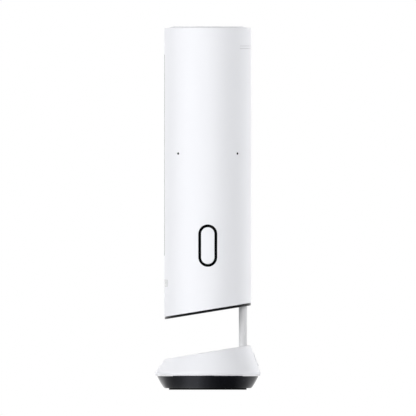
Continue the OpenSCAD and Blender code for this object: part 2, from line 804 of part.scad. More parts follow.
// A porous strip behind the slots, with a rib in each of them
module vent_mesh() color([0.7, 0.7, 0.7]) {
    back_arc((slot_zs[0] + slot_zs[1]) / 2, slot_angle + vent_lap, inner_r - 0.25, inner_r - 1.1, vent_h);
    for (z = slot_zs)
        back_arc(z, slot_angle - rib_end, head_r - rib_recess, inner_r - 0.6, slot_h - 2 * rib_clear);
}

// ---------------------------------------------------------------- loudspeaker

module driver_axis(up) on_slant(up) translate([0, -driver_fwd, 0]) children();

module speaker_gasket() color([0.2, 0.2, 0.2]) driver_axis(gasket_z)
    ring(driver_r, driver_r - 3, gasket_t - 0.05);

module speaker_basket() color([0.3, 0.3, 0.3]) driver_axis(basket_z) difference() {
    union() {
        cylinder(r = driver_r, h = basket_flange_t);
        translate([0, 0, 1]) cylinder(r1 = driver_r - 2, r2 = magnet_r + 1, h = magnet_z - basket_z - 1);
    }
    translate([0, 0, -1]) cylinder(r = driver_r - 3.2, h = 2);
    translate([0, 0, 1 - 0.01]) cylinder(r1 = driver_r - 3.4, r2 = magnet_r - 0.4, h = magnet_z - basket_z - 2.5);
    cylinder(r = 5, h = 40);
    for (a = [0:60:359]) rotate([0, 0, a + 30]) translate([magnet_r + 2.2, 0, 3])
        cylinder(r = 3, h = 8);
}

module speaker_cone() color([0.12, 0.12, 0.12]) driver_axis(basket_z) rotate_extrude() polygon([
    [driver_r - 3.3, 0.4], [cone_r - 1, 0.4], [4.2, 8], [0, 6.8], [0, 8.2], [3.4, 9.4], [3.4, 11],
    [4.6, 11], [4.6, 9.2], [cone_r - 1.6, 1.2], [driver_r - 3.3, 0.9],
]);

module speaker_magnet() color("slategray") driver_axis(magnet_z + 0.02) {
    cylinder(r = magnet_r, h = magnet_t);
    translate([0, 0, -3]) cylinder(r = 3, h = 4);
}

// D-shaped prism of the speaker box, drawn in by inset, up to the given height
module box_form(inset, top) {
    intersection() {
        translate([0, box_cy, head_z - head_r]) cylinder(r = box_r - inset, h = top - head_z + head_r);
        translate([-far, box_flat - inset - far, 0]) cube([2 * far, far, rim_z]);
    }
}

module speaker_box() color([0.1, 0.1, 0.1]) difference() {
    union() {
        difference() {
            box_form(0, head_z + box_up);
            below_slant(box_floor_z);
        }
        on_slant(plate_n + 0.02) at(box_legs) cylinder(r = leg_r, h = box_floor_z - plate_n + 0.5);
    }
    difference() {
        box_form(box_wall, head_z + box_up - 2);
        below_slant(box_floor_z + 2);
        on_slant(plate_n) at(box_legs) cylinder(r = leg_r, h = 10);
    }
    driver_axis(box_floor_z - 1) cylinder(r = driver_r - 1.9, h = 6);
    on_slant() at(box_legs) cylinder(r = screw_r + run_fit, h = 8.4);
}

// ---------------------------------------------------------------- side key

module key_pin_bore(r, half_l) {
    translate([key_pin_x, -half_l, key_z]) rotate([-90, 0, 0]) cylinder(r = r, h = 2 * half_l);
}

module key_bezel() color([0.03, 0.03, 0.03]) difference() {
    union() {
        intersection() {
            cylinder(r = head_r, h = rim_z);
            pill(bezel_hw, bezel_hh, inner_r - 4, far);
        }
        intersection() {
            cylinder(r = inner_r - 0.06, h = rim_z);
            pill(bezel_hw + flange_w, bezel_hh + flange_w, bezel_back, far);
        }
        for (s = [-1, 1]) translate([key_board_x + key_board_t + 0.02, 0, key_z + s * key_hole_z])
            rotate([0, 90, 0]) cylinder(r = 1.9, h = bezel_back - key_board_x - key_board_t + 0.5);
    }
    pill(key_w / 2 + key_gap, key_h / 2 + key_gap, 0, far);
    key_pin_bore(key_pin_d / 2 + 0.03, bezel_hw + 0.6);
    for (s = [-1, 1]) translate([0, 0, key_z + s * key_hole_z]) rotate([0, 90, 0])
        cylinder(r = thin_screw_r + run_fit, h = bezel_back + 2);
}

module key_pin() color("silver") key_pin_bore(key_pin_d / 2, bezel_hw + 0.4);

module side_key() color([0.97, 0.97, 0.97]) difference() {
    union() {
        intersection() {
            cylinder(r = head_r, h = rim_z);
            pill(key_w / 2, key_h / 2, inner_r + head_wall - key_face_t, far);
        }
        key_pin_bore(key_hub_r, key_w / 2 - 0.5);
        for (s = [-1, 1]) translate([switch_top + key_play, 0, key_z + s * key_post_z])
            rotate([0, 90, 0])
            cylinder(r = 1.4, h = head_r - key_face_t - switch_top);
    }
    key_pin_bore(key_pin_d / 2 + run_fit, key_w);
}

module key_board() color("darkgreen") difference() {
    translate([key_board_x, -6, key_z - key_hole_z - 2.6])
        cube([key_board_t, 12, 2 * key_hole_z + 5.2]);
    for (s = [-1, 1]) translate([0, 0, key_z + s * key_hole_z]) rotate([0, 90, 0])
        cylinder(r = thin_screw_r + seam, h = head_r);
}

module key_switches() color([0.2, 0.2, 0.2]) for (s = [-1, 1]) {
    x = key_board_x + key_board_t + 0.02;
    translate([x, -2.25, key_z + s * key_post_z - 2.25]) cube([1.5, 4.5, 4.5]);
    translate([x, 0, key_z + s * key_post_z]) rotate([0, 90, 0]) cylinder(r = 1, h = switch_top - x);
}

module key_screws() color("silver") for (s = [-1, 1])
    translate([key_board_x - screw_head_h - 0.02, 0, key_z + s * key_hole_z]) rotate([0, 90, 0])
        screw(5, thin_screw_r);

foot_ring();
foot_pad();
ballast();
foot_screws();
glide_ring();
base_housing();
base_floor();
floor_screws();
swivel_spindle();
spindle_screws();
spindle_clip();
mast_socket();
socket_screws();
mast();
mast_collar();
mast_cable();
power_board();
usb_socket();
port_bezel();
head_shell();
top_cap();
bottom_plate();
plate_screws();
mast_grommet();
cover_glass();
display_panel();
display_bracket();
bracket_screws();
sensor_window();
sensor_board();
chassis();
lower_bush();
upper_bush();
friction_sleeve();
main_board();
board_screws();
shield_cans();
heat_sink();
antenna_board();
mic_boards();
mic_gaskets();
vent_mesh();
speaker_gasket();
speaker_basket();
speaker_cone();
speaker_magnet();
speaker_box();
key_bezel();
key_pin();
key_board();
key_switches();
key_screws();
side_key();
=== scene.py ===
import json
import math

import bmesh
import bpy
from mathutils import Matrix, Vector

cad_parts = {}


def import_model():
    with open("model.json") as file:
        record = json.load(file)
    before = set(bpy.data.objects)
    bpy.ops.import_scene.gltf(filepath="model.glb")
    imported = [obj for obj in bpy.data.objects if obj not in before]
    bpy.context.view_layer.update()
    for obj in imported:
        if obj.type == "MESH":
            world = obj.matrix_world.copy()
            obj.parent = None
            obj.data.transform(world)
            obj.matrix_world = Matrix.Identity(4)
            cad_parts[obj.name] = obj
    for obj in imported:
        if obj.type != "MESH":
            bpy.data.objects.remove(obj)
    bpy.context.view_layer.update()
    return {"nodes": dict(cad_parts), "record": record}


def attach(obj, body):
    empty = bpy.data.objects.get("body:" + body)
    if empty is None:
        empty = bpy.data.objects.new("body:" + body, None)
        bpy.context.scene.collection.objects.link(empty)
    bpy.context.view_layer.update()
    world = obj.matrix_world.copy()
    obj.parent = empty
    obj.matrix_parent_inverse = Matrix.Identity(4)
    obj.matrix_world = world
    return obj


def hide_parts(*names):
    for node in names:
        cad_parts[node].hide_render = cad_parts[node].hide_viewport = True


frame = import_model()

MM = 0.001
TAU = 2 * math.pi

# Sizes of the object, in millimetres. They repeat the CAD's dimensions.
HEAD_R, HEAD_WALL, RIM_Z, SLANT = 42.0, 2.0, 349.7, math.radians(9.2)
HEAD_Z = 74.8                                  # the slanted underside, on the axis
PLATE_T, PLATE_INSET = 2.6, 0.3
CAP_R, CAP_FLAT_R, CAP_RISE, LIP_T = 38.3, 32.8, 1.5, 2.5
SEAM = 0.1
DISPLAY_W, DISPLAY_H, DISPLAY_Z, DISPLAY_CORNER = 11.0, 194.5, 226.8, 2.4
GLASS_PROUD, GLASS_T = 0.1, 2.0
SENSOR_W, SENSOR_H, SENSOR_Z, SENSOR_CORNER = 33.4, 6.9, 102.9, 1.6
MIC_R, MIC_Z, MIC_ANGLE = 1.2, 228.3, math.radians(43.2)
SLOT_H, SLOT_ZS, SLOT_ANGLE = 0.3, (332.3, 329.8), math.radians(42)
KEY_HW, KEY_HH, KEY_Z, KEY_GAP, BEZEL_W = 6.55, 17.8, 139.3, 0.35, 2.3
KEY_T, KEY_WHITE_T = 3.2, 0.35
MAST_R, MAST_WALL, MAST_Y, MAST_CLEAR = 4.0, 1.1, 34.0, 0.4
GROMMET_T = 1.2
BASE_R, BASE_Z, BASE_TOP_Z, BASE_INSET, BASE_WALL = 51.0, 13.7, 36.5, 0.9, 2.0
SKIRT_Z0, SKIRT_Z1, SKIRT_BEVEL = 14.7, 16.7, 0.6
PORT_R, PORT_Z, PORT_PROUD, WELL_R, WELL_Y = 6.25, 29.25, 0.7, 5.3, 46.0
USB_W, USB_H = 9.2, 3.4
FOOT_R, FOOT_LOW_R, FOOT_Z0, FOOT_Z1, FOOT_WALL = 49.0, 41.8, 1.5, 13.2, 2.2
HUB_R, HUB_TOP, SPINDLE_BORE_R, CLIP_BORE_R, CLIP_BORE_TOP = 13.0, 11.7, 6.05, 9.6, 4.4
PAD_R, PAD_W = 37.5, 13.0
DRIVER_FWD, CONE_R = 8.5, 19.5
SINK_R, SCREW_WAY_R = 2.35, 1.3                # a screw's counterbore and its hole
SCREW_SINK, FOOT_SINK = 1.45, 3.15             # depth of a counterbore in the underside plate and in the foot
GRILLE_R, GRILLE_RINGS = 1.4, 4
MAST_LOW, MAST_TOP = 18.1, 196.3
LEVEL_UP = 22                                  # the column's rings are level from here above the slant

RISE = math.tan(SLANT)
INNER_R = HEAD_R - HEAD_WALL
TOP_R = HEAD_R - BASE_INSET                    # the base's top edge, measured level

# For meshes and materials
TINY = 1e-6                                    # a length below this counts as none
DRIFT = (0.3, 0.7)                             # the part of the noise's range that the materials use
PLASTIC_SHADE, METAL_SHADE = 0.985, 0.93       # a material's darker shade, as a share of its colour

# The photograph's frame
PIXELS, PIXEL_MM = 416, 0.9666
GROUND_ROW = 389.75                            # the row where the object meets the table
CAMERA_AWAY, CAMERA_SIDE = 3.0, 0.0002         # metres

# Lamps: name, azimuth, elevation and spread in degrees, and power
LAMPS = [
    ("key", -60, 9, 36, 2.31), ("camera_right", 25, 9, 36, 1.91), ("back_right", 110, 9, 36, 0.653),
    ("behind_right", 145, 9, 36, 1.859), ("front_left", -150, 9, 36, 0.265),
    ("front_high", -150, 35, 40, 0.99), ("top", 0, 88, 20, 0.4),
]
# The dark corner that shiny parts see: its middle, the angles from there where it has faded out and where
# it is darkest, and its level
DARK_AZIMUTH, DARK_EDGES, DARK_LEVEL = math.radians(45), (math.radians(52), math.radians(32)), 0.1
# Painted glow and painted shade that shiny parts see on the table in place of its lit colour: azimuth in
# degrees round the object, and level
TABLE_PAINTED_LEVELS = [
    (-170, 0.9), (-93, 1.0), (-74, 0.5), (-55, 0.33), (-42, 0.45), (-28, 1.0), (-15, 1.0), (-5, 0.5),
    (6, 0.22), (18, 0.1), (40, 0.1), (50, 0.25), (64, 0.42), (78, 0.66), (100, 0.66), (170, 0.9),
]
# Between these two distances from the axis, in metres, the painted levels rise to at least the third value,
# so the painted shade stays close to the object
TABLE_NEAR, TABLE_FAR, TABLE_AWAY_LEVEL = 0.08, 0.2, 0.9
TABLE_HALF, TABLE_DROP = 30000, 0.05           # half its side, and how far it lies under the pad, in mm
CAMERA_LIFT = 0.3                              # how much lighter the camera sees the table
FRONT, SIDE, BACK = -math.pi / 2, 0.0, math.pi / 2


# ------------------------------------------------------------------ meshes

def make(name, verts, faces, body=None, replaces=(), slot=None, material=None):
    """A mesh object from points in millimetres. Without a body it is a cutter."""
    mesh = bpy.data.meshes.new(name)
    mesh.from_pydata([tuple(c * MM for c in v) for v in verts], [], faces)
    mesh.update()
    obj = bpy.data.objects.new(name, mesh)
    bpy.context.scene.collection.objects.link(obj)
    fix_normals(mesh)
    if body:
        dress(obj, body, replaces, slot, material)
    return obj


def dress(obj, body, replaces=(), slot=None, material=None):
    if material:
        obj.data.materials.clear()
        obj.data.materials.append(material)
    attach(obj, body)
    if replaces:
        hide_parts(*replaces)


def fix_normals(mesh):
    bm = bmesh.new()
    bm.from_mesh(mesh)
    bmesh.ops.recalc_face_normals(bm, faces=bm.faces)
    bm.to_mesh(mesh)
    bm.free()


def soften(obj, angle=32):
    """Smooth shading with hard edges above the angle, and flats that stay flat."""
    mesh = obj.data
    for poly in mesh.polygons:
        poly.use_smooth = True
    mesh.set_sharp_from_angle(angle=math.radians(angle))
    weighted = obj.modifiers.new("weighted", "WEIGHTED_NORMAL")
    weighted.keep_sharp = True
    weighted.weight = 80
    return obj


def rounded(points, radii, steps=5):
    """The open outline through the points with its corners rounded by the radii."""
    most = 0.49                                # a rounding takes less than half of a side
    out = []
    last = len(points) - 1
    for i, p in enumerate(points):
        r = radii[i]
        if i in (0, last) or r <= 0:
            out.append(tuple(p))
            continue
        a, b = Vector(points[i - 1]) - Vector(p), Vector(points[i + 1]) - Vector(p)
        half = a.angle(b) / 2
        reach = min(r / math.tan(half), most * a.length, most * b.length)
        r = reach * math.tan(half)
        centre = Vector(p) + (a.normalized() + b.normalized()).normalized() * (r / math.sin(half))
        start, end = Vector(p) + a.normalized() * reach - centre, Vector(p) + b.normalized() * reach - centre
        turn = math.atan2(start.x * end.y - start.y * end.x, start.dot(end))
        for k in range(steps + 1):
            t = turn * k / steps
            out.append((
                centre.x + start.x * math.cos(t) - start.y * math.sin(t),
                centre.y + start.x * math.sin(t) + start.y * math.cos(t),
            ))
    return out


def loft(rings, closed=False, caps=True):
    """Faces over rings of equal length. closed joins the last ring to the first; caps close the ends."""
    n = len(rings[0])
    verts = [p for ring in rings for p in ring]
    faces = []
    for k in range(len(rings) if closed else len(rings) - 1):
        a, b = k * n, (k + 1) % len(rings) * n
        for i in range(n):
            j = (i + 1) % n
            faces.append((a + i, a + j, b + j, b + i))
    if caps and not closed:
        faces.append(tuple(range(n)))
        faces.append(tuple((len(rings) - 1) * n + i for i in reversed(range(n))))
    return verts, faces


def close_on(verts, faces, first, n, point):
    """Fills the ring of n points that begins at first with triangles onto one more point."""
    verts.append(point)
    for i in range(n):
        faces.append((first + i, first + (i + 1) % n, len(verts) - 1))


def lathe(name, profile, x=0.0, y=0.0, segments=192, **dressed):
    """A solid turned about an upright axis. The profile's points are (radius, height) or
    (radius, height, share of the slant), and it is closed by itself unless it starts and ends on the axis."""
    on_axis = profile[0][0] < TINY and profile[-1][0] < TINY
    points = profile[1:-1] if on_axis else profile
    rings = []
    for p in points:
        share = p[2] if len(p) > 2 else 0.0
        rings.append([
            (x + p[0] * math.cos(a), y + p[0] * math.sin(a),
             p[1] + share * RISE * (y + p[0] * math.sin(a)))
            for a in (TAU * i / segments for i in range(segments))
        ])
    verts, faces = loft(rings, closed=not on_axis, caps=False)
    if on_axis:
        for ring, p in ((0, profile[0]), (len(rings) - 1, profile[-1])):
            share = p[2] if len(p) > 2 else 0.0
            close_on(verts, faces, ring * segments, segments, (x, y, p[1] + share * RISE * y))
    return make(name, verts, faces, **dressed)


def cut(obj, *cutters):
    """Takes the cutters out of the object, then removes them."""
    for cutter in cutters:
        mod = obj.modifiers.new("cut", "BOOLEAN")
        mod.operation, mod.solver, mod.object = "DIFFERENCE", "EXACT", cutter
    graph = bpy.context.evaluated_depsgraph_get()
    mesh = bpy.data.meshes.new_from_object(obj.evaluated_get(graph))
    obj.modifiers.clear()
    old, obj.data = obj.data, mesh
    mesh.name = obj.name
    bpy.data.meshes.remove(old)
    for cutter in cutters:
        bpy.data.meshes.remove(cutter.data)
    return obj


def merged(name, objects):
    """One object from several, for a single cut."""
    bm = bmesh.new()
    for o in objects:
        bm.from_mesh(o.data)
        bpy.data.meshes.remove(o.data)
    mesh = bpy.data.meshes.new(name)
    bm.to_mesh(mesh)
    bm.free()
    obj = bpy.data.objects.new(name, mesh)
    bpy.context.scene.collection.objects.link(obj)
    return obj


def outline(half_w, half_h, corner, steps=10, side_steps=12):
    """A function of an inset that gives the points (u, v) of a rounded rectangle."""
    def points(inset=0.0):
        w, h, r = half_w - inset, half_h - inset, max(corner - inset, 0.02)
        centres = ((w - r, h - r), (-(w - r), h - r), (-(w - r), -(h - r)), (w - r, -(h - r)))
        out = []
        for k, (cx, cy) in enumerate(centres):
            round_end = (half_w, half_h)[k % 2] - corner < TINY
            for s in range(steps + (0 if round_end else 1)):
                a = math.pi / 2 * (k + s / steps)
                out.append((cx + r * math.cos(a), cy + r * math.sin(a)))
            if round_end:
                continue
            nx, ny = centres[(k + 1) % 4]
            b = math.pi / 2 * (k + 1)
            ex, ey = nx + r * math.cos(b), ny + r * math.sin(b)
            sx, sy = out[-1]
            out += [(sx + (ex - sx) * s / side_steps, sy + (ey - sy) * s / side_steps)
                    for s in range(1, side_steps)]
        return out
    return points


def on_column(azimuth, z0):
    """Places (u, v, radius) on the round column: u along the curve at the column's skin, v upwards."""
    def place(u, v, radius):
        a = azimuth + u / HEAD_R
        return radius * math.cos(a), radius * math.sin(a), z0 + v
    return place


def wall_radius(angle, z):
    """Level distance from the axis to the base's sloping side, at a height."""
    top_z = BASE_TOP_Z + TOP_R * math.sin(angle) * RISE
    share = (z - SKIRT_Z1) / (top_z - SKIRT_Z1)
    return BASE_R + (TOP_R - BASE_R) * share


def on_base(z0):
    """Places (u, v, height over the side) on the back of the base."""
    curve_r = BASE_R - 5

    def place(u, v, over):
        a = BACK - u / curve_r
        r = wall_radius(a, z0 + v) + over
        return r * math.cos(a), r * math.sin(a), z0 + v
    return place


def inlay(name, place, shape, layers, cap_steps=8, **dressed):
    """A solid that follows a curved wall: layers are (depth, inset), the last one is the outer face,
    and both faces are filled by rings that shrink towards the middle."""
    def ring(depth, inset, share=1.0):
        return [place(u * share, v * share, depth) for u, v in shape(inset)]
    rings = [ring(d, i) for d, i in layers]
    back = [ring(layers[0][0], layers[0][1], k / cap_steps) for k in range(1, cap_steps)]
    face = [ring(layers[-1][0], layers[-1][1], k / cap_steps) for k in range(cap_steps - 1, 0, -1)]
    rings = back + rings + face
    verts, faces = loft(rings, caps=False)
    n = len(rings[0])
    for r, depth in ((0, layers[0][0]), (len(rings) - 1, layers[-1][0])):
        close_on(verts, faces, r * n, n, place(0, 0, depth))
    return make(name, verts, faces, **dressed)


def inlay_ring(name, place, shape, profile, **dressed):
    """A frame that follows a curved wall: the closed profile holds (depth, inset)."""
    rings = [[place(u, v, depth) for u, v in shape(inset)] for depth, inset in profile]
    verts, faces = loft(rings, closed=True)
    return make(name, verts, faces, **dressed)


def rod(name, centre, direction, radius, z0, z1, segments=32, flare=0.0):
    """A cutter: a round bar along a direction, from z0 to z1 on it, that may flare at its far end."""
    d = Vector(direction).normalized()
    side = d.orthogonal().normalized()
    up = d.cross(side)
    rings = []
    for z, r in ((z0, radius), (z1, radius + flare)):
        rings.append([tuple(Vector(centre) + d * z + (side * math.cos(a) + up * math.sin(a)) * r)
                      for a in (TAU * i / segments for i in range(segments))])
    return make(name, *loft(rings))


# ------------------------------------------------------------------ materials

def shader(name, color, rough, metal=0.0, coat=0.0, coat_rough=0.1, specular=0.5, gleam=(1, 1, 1)):
    mat = bpy.data.materials.new(name)
    mat.use_nodes = True
    node = mat.node_tree.nodes["Principled BSDF"]
    node.inputs["Base Color"].default_value = (*color, 1)
    node.inputs["Roughness"].default_value = rough
    node.inputs["Metallic"].default_value = metal
    node.inputs["Coat Weight"].default_value = coat
    node.inputs["Coat Roughness"].default_value = coat_rough
    node.inputs["Specular IOR Level"].default_value = specular
    node.inputs["Specular Tint"].default_value = (*gleam, 1)
    return mat, mat.node_tree, node


def grain(tree, node, scale, strength, distance, stretch=(1, 1, 1), detail=3.0):
    """A fine noise bump in object space. Scale is in grains per metre."""
    coords = tree.nodes.new("ShaderNodeTexCoord")
    mapping = tree.nodes.new("ShaderNodeMapping")
    mapping.inputs["Scale"].default_value = stretch
    noise = tree.nodes.new("ShaderNodeTexNoise")
    noise.inputs["Scale"].default_value = scale
    noise.inputs["Detail"].default_value = detail
    bump = tree.nodes.new("ShaderNodeBump")
    bump.inputs["Strength"].default_value = strength
    bump.inputs["Distance"].default_value = distance
    tree.links.new(coords.outputs["Object"], mapping.inputs["Vector"])
    tree.links.new(mapping.outputs["Vector"], noise.inputs["Vector"])
    tree.links.new(noise.outputs["Fac"], bump.inputs["Height"])
    tree.links.new(bump.outputs["Normal"], node.inputs["Normal"])
    return noise


def vary(tree, noise, socket, low, high):
    """Lets a value of the shader drift between low and high with the noise."""
    span = tree.nodes.new("ShaderNodeMapRange")
    span.inputs["From Min"].default_value, span.inputs["From Max"].default_value = DRIFT
    span.inputs["To Min"].default_value = low
    span.inputs["To Max"].default_value = high
    tree.links.new(noise.outputs["Fac"], span.inputs["Value"])
    tree.links.new(span.outputs["Result"], socket)


def tint(tree, noise, node, dark, light):
    """Lets the colour drift between two shades with the noise."""
    ramp = tree.nodes.new("ShaderNodeValToRGB")
    for stop, position, color in zip(ramp.color_ramp.elements, DRIFT, (dark, light)):
        stop.position, stop.color = position, (*color, 1)
    tree.links.new(noise.outputs["Fac"], ramp.inputs["Fac"])
    tree.links.new(ramp.outputs["Color"], node.inputs["Base Color"])


def moulded(name, color, rough, grain_scale=2600, depth=0.00002, drift=0.03, **extra):
    """Moulded plastic with a fine spark-eroded grain."""
    mat, tree, node = shader(name, color, rough, **extra)
    noise = grain(tree, node, grain_scale, strength=0.25, distance=depth)
    vary(tree, noise, node.inputs["Roughness"], rough - drift, rough + drift)
    tint(tree, noise, node, [c * PLASTIC_SHADE for c in color], color)
    return mat


def metal(name, color, rough, stretch, scale=900, depth=0.00001, drift=0.06, metal=1.0):
    """Metal with fine drawn lines along one direction."""
    mat, tree, node = shader(name, color, rough, metal=metal)
    noise = grain(tree, node, scale, strength=0.2, distance=depth, stretch=stretch)
    vary(tree, noise, node.inputs["Roughness"], rough - drift, rough + drift)
    tint(tree, noise, node, [c * METAL_SHADE for c in color], color)
    return mat


def board_material(name):
    """Coated circuit board with fine light tracks."""
    green = (0.012, 0.09, 0.045)
    mat, tree, node = shader(name, green, 0.35, coat=0.3)
    coords = tree.nodes.new("ShaderNodeTexCoord")
    brick = tree.nodes.new("ShaderNodeTexBrick")
    brick.inputs["Scale"].default_value = 160
    brick.inputs["Color1"].default_value = (*green, 1)
    brick.inputs["Color2"].default_value = (0.010, 0.075, 0.04, 1)
    brick.inputs["Mortar"].default_value = (0.04, 0.2, 0.11, 1)
    brick.inputs["Mortar Size"].default_value = 0.035
    tree.links.new(coords.outputs["Object"], brick.inputs["Vector"])
    tree.links.new(brick.outputs["Color"], node.inputs["Base Color"])
    return mat


WHITE = moulded("white_plastic", (0.862, 0.87, 0.903), 0.42)
KEY_WHITE = moulded("key_plastic", (0.882, 0.89, 0.924), 0.38)
GLOSS_BLACK = moulded("gloss_black", (0.003, 0.0032, 0.005), 0.1, grain_scale=700, depth=0.000002, drift=0.02,
                      gleam=(0.88, 0.9, 1.0))
PLATE_BLACK = moulded("plate_black", (0.003, 0.0032, 0.005), 0.15, grain_scale=700, depth=0.000002,
                      drift=0.02, specular=0.22)
MATT_BLACK = moulded("matt_black", (0.003, 0.003, 0.0035), 0.7, specular=0.02)
RUBBER = moulded("rubber", (0.008, 0.008, 0.009), 0.8, grain_scale=1800, depth=0.00004, specular=0.08)
GLASS = moulded("display_glass", (0.004, 0.0045, 0.006), 0.06, grain_scale=120, depth=0.0000002,
                drift=0.01, coat=0.5)
WINDOW = moulded("window_grey", (0.72, 0.725, 0.74), 0.22, drift=0.02)
CHASSIS = moulded("chassis_grey", (0.10, 0.10, 0.11), 0.55)
BEARING = moulded("bearing_plastic", (0.80, 0.78, 0.70), 0.35)
MAST_METAL = metal("mast_metal", (0.8, 0.802, 0.815), 0.5, (1, 1, 0.02), metal=0.25)
STEEL = metal("steel", (0.50, 0.50, 0.51), 0.34, (1, 1, 0.15))
SINK_METAL = metal("heat_sink_metal", (0.58, 0.58, 0.60), 0.4, (1, 0.05, 1))
BOARD = board_material("circuit_board")
PANEL = moulded("panel_black", (0.008, 0.008, 0.01), 0.2)
VENT = moulded("vent_plastic", (0.5, 0.505, 0.52), 0.6)

SLOT_MATERIALS = {
    "white_shell": WHITE, "white_key": KEY_WHITE, "black_gloss": GLOSS_BLACK, "black_matte": MATT_BLACK,
    "rubber_black": RUBBER, "mast_metal": MAST_METAL, "steel": STEEL, "heat_sink_metal": SINK_METAL,
    "bearing_plastic": BEARING, "chassis_grey": CHASSIS, "board_green": BOARD, "display_glass": GLASS,
    "display_face": PANEL, "window_grey": WINDOW, "vent_plastic": VENT,
}


def dress_cad_nodes():
    """Every CAD node gets the material of its slot."""
    slots = {s["node"]: s["material_slot"] for s in frame["record"]["subparts"]}
    for name, obj in frame["nodes"].items():
        obj.data.materials.clear()
        obj.data.materials.append(SLOT_MATERIALS[slots[name]])


# ------------------------------------------------------------------ column

def radial_normals(obj, radius, tolerance=0.02, upright=0.02):
    """Gives the faces on the column's skin the normals of a true cylinder."""
    mesh = obj.data
    for poly in mesh.polygons:
        poly.use_smooth = True
    mesh.set_sharp_from_angle(angle=math.radians(30))
    mesh.update()
    normals = [Vector(c.vector) for c in mesh.corner_normals]
    for poly in mesh.polygons:
        spread = [Vector((mesh.vertices[v].co.x, mesh.vertices[v].co.y, 0)) for v in poly.vertices]
        level = abs(poly.normal.z) < upright
        for r in (radius, INNER_R):
            if level and all(abs(p.length / MM - r) < tolerance for p in spread):
                sign = 1 if r == radius else -1
                for loop, p in zip(poly.loop_indices, spread):
                    normals[loop] = p.normalized() * sign
    mesh.normals_split_custom_set(normals)
    return obj


DISPLAY_SHAPE = outline(DISPLAY_W / 2, DISPLAY_H / 2, DISPLAY_CORNER, side_steps=24)
SENSOR_HALF_U = HEAD_R * math.asin(SENSOR_W / 2 / HEAD_R)
SENSOR_SHAPE = outline(SENSOR_HALF_U, SENSOR_H / 2, SENSOR_CORNER, side_steps=24)
BEZEL_HW, BEZEL_HH = KEY_HW + KEY_GAP + BEZEL_W, KEY_HH + KEY_GAP + BEZEL_W
BEZEL_SHAPE = outline(BEZEL_HW, BEZEL_HH, BEZEL_HW, steps=14)
KEY_SHAPE = outline(KEY_HW, KEY_HH, KEY_HW, steps=14)


def opening(name, place, shape, depth=8.0, beyond=1.5, chamfer=0.1, clear=SEAM):
    """A cutter for an opening in the column, with a fine chamfer at the skin."""
    layers = [(HEAD_R - depth, -clear), (HEAD_R - chamfer, -clear), (HEAD_R, -clear - chamfer),
              (HEAD_R + beyond, -clear - chamfer)]
    return inlay(name, place, shape, layers)


def arc_cutter(name, z, half_angle):
    """A cutter for one air slot at the back: a flat arc with round ends."""
    half_u = HEAD_R * half_angle
    shape = outline(half_u, SLOT_H / 2, SLOT_H / 2, steps=6, side_steps=64)
    return opening(name, on_column(BACK, z), shape, depth=5.0, chamfer=0.06, clear=0.0)


def column_shell():
    low = HEAD_Z + PLATE_T
    lip_r = CAP_R + SEAM
    edge, lip_edge = 0.35, 0.15
    level_z, level_h = HEAD_Z + LEVEL_UP, RIM_Z - HEAD_Z - LEVEL_UP
    wall = [(HEAD_R, low, 1.0), (HEAD_R, level_z, 0.0)]
    wall += [(HEAD_R, level_z + (level_h - 2) * k / 6, 0.0) for k in range(1, 7)]
    rim = rounded([(HEAD_R, RIM_Z - 2), (HEAD_R, RIM_Z), (lip_r, RIM_Z), (lip_r, RIM_Z - LIP_T),
                   (INNER_R, RIM_Z - LIP_T), (INNER_R, RIM_Z - LIP_T - 2)], [0, edge, lip_edge, 0, 0, 0])
    inside = [(INNER_R, level_z + (level_h - 8) * k / 4, 0.0) for k in (4, 3, 2, 1, 0)]
    lowest = (INNER_R, low, 1.0)
    shell = lathe("column_shell", [*wall, *rim[1:], *inside, lowest], segments=256,
                  body="head", replaces=["head_shell"], slot="white_shell", material=WHITE)
    cutters = [
        opening("display_way", on_column(FRONT, DISPLAY_Z), DISPLAY_SHAPE),
        opening("sensor_way", on_column(FRONT, SENSOR_Z), SENSOR_SHAPE),
        opening("key_way", on_column(SIDE, KEY_Z), BEZEL_SHAPE, clear=0.05, chamfer=0.04),
        *[arc_cutter(f"slot_way_{k}", z, SLOT_ANGLE) for k, z in enumerate(SLOT_ZS)],
    ]
    for side in (0, math.pi):
        for s in (-1, 1):
            a = side + s * MIC_ANGLE
            cutters.append(rod("mic_way", (0, 0, MIC_Z), (math.cos(a), math.sin(a), 0), MIC_R,
                               INNER_R - 4, HEAD_R + 2))
    cut(shell, merged("column_ways", cutters))
    radial_normals(shell, HEAD_R)
    return shell


def top_cap():
    points = [(0, RIM_Z + CAP_RISE), (CAP_FLAT_R, RIM_Z + CAP_RISE), (CAP_R, RIM_Z + 0.05),
              (CAP_R, RIM_Z - LIP_T - 0.05), (INNER_R - 0.1, RIM_Z - LIP_T - 0.05),
              (INNER_R - 0.1, RIM_Z - LIP_T - 2), (CAP_FLAT_R, RIM_Z - LIP_T - 2),
              (CAP_FLAT_R, RIM_Z - 2), (0, RIM_Z - 2)]
    profile = rounded(points, [0, 1.2, 0.3, 0, 0, 0, 0, 0, 0])
    return soften(lathe("cap", profile, body="head", replaces=["top_cap"], slot="white_shell",
                        material=WHITE))


